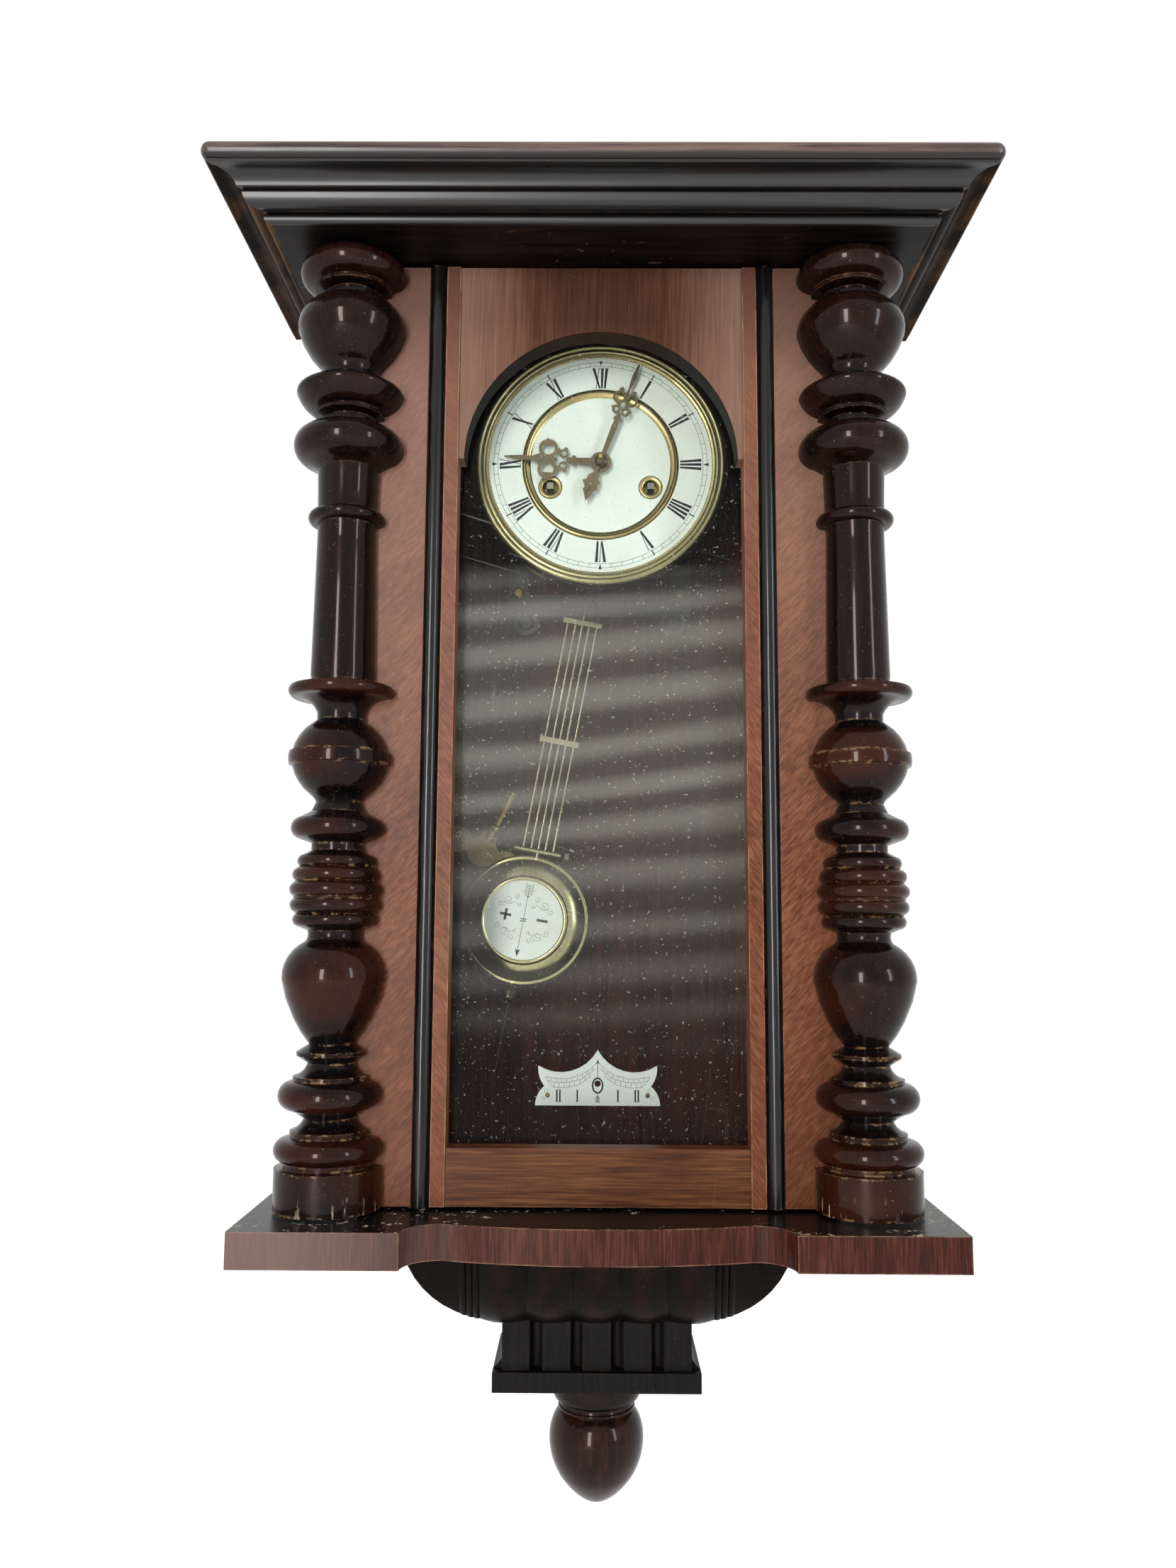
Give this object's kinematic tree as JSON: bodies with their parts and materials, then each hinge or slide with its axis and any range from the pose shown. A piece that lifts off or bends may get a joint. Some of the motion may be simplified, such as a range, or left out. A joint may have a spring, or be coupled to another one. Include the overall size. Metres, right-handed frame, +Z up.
{
  "type": "vienna regulator wall clock",
  "caption": "Spring driven wall regulator in a dark mahogany case with turned columns, an arched glass door, a two-piece dial and a rod pendulum",
  "frame": {"origin": "centre of the hole in the hanger plate, in the plane of the wall", "axes": "X to the right seen from the front, the front looks along -Y, +Z up"},
  "size_m": [0.408, 0.188, 0.7144],
  "materials": {
    "mahogany": "old shellac over reddish mahogany veneer, satin with worn edges",
    "ebonised_wood": "black stained and polished wood, glossy, rubbed brown on edges",
    "turned_walnut": "dark brown turned wood under glossy shellac, pale chips on the rims",
    "worn_walnut": "dark walnut with rubbed, paler front edge",
    "shelf_veneer": "cross-banded mahogany veneer under a black top, satin",
    "case_interior_wood": "dull reddish brown stained boards",
    "white_enamel": "white enamelled or celluloid surface with black print, glossy",
    "bezel_brass": "spun brass with greyish patina and bright rubbed ridge",
    "polished_brass": "lacquered spun brass",
    "aged_brass": "tarnished brass",
    "plate_brass": "brushed clock brass",
    "bob_brass": "thin spun brass, tarnished, with bright rolled rims",
    "hand_metal": "stamped metal, grey brown patina",
    "dull_steel": "plain steel, dull",
    "spring_steel": "bright steel",
    "rod_steel": "steel and brass rods, dull",
    "blued_steel": "blued steel wire",
    "black_iron": "black japanned iron",
    "dark_nut": "blackened turned brass",
    "door_glass": "old clear window glass, faintly dusty"
  },
  "bodies": {
    "case": {"backboard": "case_interior_wood", "case_sides": "mahogany", "soffit_board": "ebonised_wood", "cornice_slab": "worn_walnut", "cornice_front_moulding": "ebonised_wood", "cornice_side_mouldings": "ebonised_wood", "shelf": "shelf_veneer", "fluted_bracket": "ebonised_wood", "dentil_block": "ebonised_wood", "finial": "turned_walnut", "hanger_plate": "aged_brass", "case_screws": "aged_brass", "beat_scale": "white_enamel", "key_hook": "dull_steel", "movement_bracket": "black_iron", "gong_stand": "black_iron", "gong": "blued_steel", "case_hinge_leaves": "aged_brass", "catch_clip": "aged_brass", "front_plate": "plate_brass", "back_plate": "plate_brass", "suspension_cock": "aged_brass", "suspension_spring": "spring_steel", "dial_plate": "plate_brass", "chapter_ring": "white_enamel", "dial_centre": "white_enamel", "dial_bezel": "bezel_brass", "dial_brass_rings": "polished_brass"},
    "door": {"door_left_stile": "mahogany", "door_right_stile": "mahogany", "door_top_rail": "mahogany", "door_bottom_rail": "mahogany", "door_inner_strips": "mahogany", "door_beads": "ebonised_wood", "door_glass": "door_glass", "left_column": "turned_walnut", "right_column": "turned_walnut", "door_hinge_leaves": "aged_brass", "catch_stud": "aged_brass"},
    "minute_arbor": {"cannon_pinion": "plate_brass", "minute_hand": "hand_metal"},
    "minute_wheel_arbor": {"minute_wheel": "plate_brass"},
    "hour_pipe": {"hour_wheel": "plate_brass", "hour_hand": "hand_metal"},
    "centre_arbor": {"centre_wheel": "plate_brass"},
    "third_arbor": {"third_wheel": "plate_brass"},
    "escape_arbor": {"escape_wheel": "plate_brass"},
    "time_spring_barrel": {"time_barrel": "plate_brass"},
    "strike_spring_barrel": {"strike_barrel": "plate_brass"},
    "time_winder": {"time_winding_arbor": "dull_steel"},
    "strike_winder": {"strike_winding_arbor": "dull_steel"},
    "anchor_arbor": {"anchor": "spring_steel", "crutch": "dull_steel"},
    "hammer": {"strike_hammer": "dull_steel"},
    "leader": {"pendulum_leader": "aged_brass"},
    "pendulum": {"pendulum_rods": "rod_steel", "pendulum_bob": "bob_brass", "bob_disc": "white_enamel", "rating_nut": "dark_nut"},
    "key": {"winding_key": "aged_brass"}
  },
  "joints": [
    {"name": "door_swing", "type": "hinge", "parent": "case", "child": "door", "pos_m": [0.134, -0.1, -0.22], "axis": [0, 0, 1], "range_deg": [0, 95]},
    {"name": "minute_hand_turn", "type": "hinge", "parent": "case", "child": "minute_arbor", "pos_m": [0, -0.08, -0.064], "axis": [0, 1, 0], "continuous": true},
    {"name": "minute_wheel_turn", "type": "hinge", "parent": "case", "child": "minute_wheel_arbor", "pos_m": [0, -0.077, -0.0766], "axis": [0, 1, 0], "continuous": true},
    {"name": "hour_hand_turn", "type": "hinge", "parent": "case", "child": "hour_pipe", "pos_m": [0, -0.08, -0.064], "axis": [0, 1, 0], "continuous": true},
    {"name": "third_wheel_turn", "type": "hinge", "parent": "case", "child": "third_arbor", "pos_m": [0.00899, -0.06, -0.0484], "axis": [0, 1, 0], "continuous": true},
    {"name": "centre_wheel_turn", "type": "hinge", "parent": "case", "child": "centre_arbor", "pos_m": [0, -0.06, -0.064], "axis": [0, 1, 0], "continuous": true},
    {"name": "escape_wheel_turn", "type": "hinge", "parent": "case", "child": "escape_arbor", "pos_m": [0, -0.06, -0.0382], "axis": [0, 1, 0], "continuous": true},
    {"name": "time_barrel_turn", "type": "hinge", "parent": "case", "child": "time_spring_barrel", "pos_m": [0.029, -0.06, -0.0776], "axis": [0, 1, 0], "continuous": true},
    {"name": "strike_barrel_turn", "type": "hinge", "parent": "case", "child": "strike_spring_barrel", "pos_m": [-0.029, -0.06, -0.0776], "axis": [0, 1, 0], "continuous": true},
    {"name": "time_winding_turn", "type": "hinge", "parent": "case", "child": "time_winder", "pos_m": [0.029, -0.06, -0.0776], "axis": [0, 1, 0], "continuous": true},
    {"name": "strike_winding_turn", "type": "hinge", "parent": "case", "child": "strike_winder", "pos_m": [-0.029, -0.06, -0.0776], "axis": [0, 1, 0], "continuous": true},
    {"name": "leader_swing", "type": "hinge", "parent": "case", "child": "leader", "pos_m": [0, -0.04, -0.0242], "axis": [0, 1, 0], "range_deg": [-3, 3]},
    {"name": "anchor_rock", "type": "hinge", "parent": "case", "child": "anchor_arbor", "pos_m": [0, -0.06, -0.0242], "axis": [0, 1, 0], "range_deg": [-3, 3]},
    {"name": "hammer_lift", "type": "hinge", "parent": "case", "child": "hammer", "pos_m": [-0.043, -0.05, -0.032], "axis": [0, 1, 0], "range_deg": [0, 10], "stiffness_Nm_per_rad": 0.004},
    {"name": "pendulum_swing", "type": "hinge", "parent": "leader", "child": "pendulum", "pos_m": [0, -0.037, -0.092], "axis": [0, -1, 0], "range_deg": [-2.4, 23.6]},
    {"name": "key_swing", "type": "hinge", "parent": "case", "child": "key", "pos_m": [-0.0853, -0.022, -0.275], "axis": [0, 1, 0], "range_deg": [-10, 85]}
  ],
  "couplings": [
    {"joint": "minute_wheel_turn", "follows": "minute_hand_turn", "ratio": -0.33333},
    {"joint": "hour_hand_turn", "follows": "minute_hand_turn", "ratio": 0.083333},
    {"joint": "centre_wheel_turn", "follows": "third_wheel_turn", "ratio": -0.125},
    {"joint": "escape_wheel_turn", "follows": "third_wheel_turn", "ratio": -7.5},
    {"joint": "time_barrel_turn", "follows": "third_wheel_turn", "ratio": 0.015625},
    {"joint": "anchor_rock", "follows": "leader_swing", "ratio": 1}
  ]
}
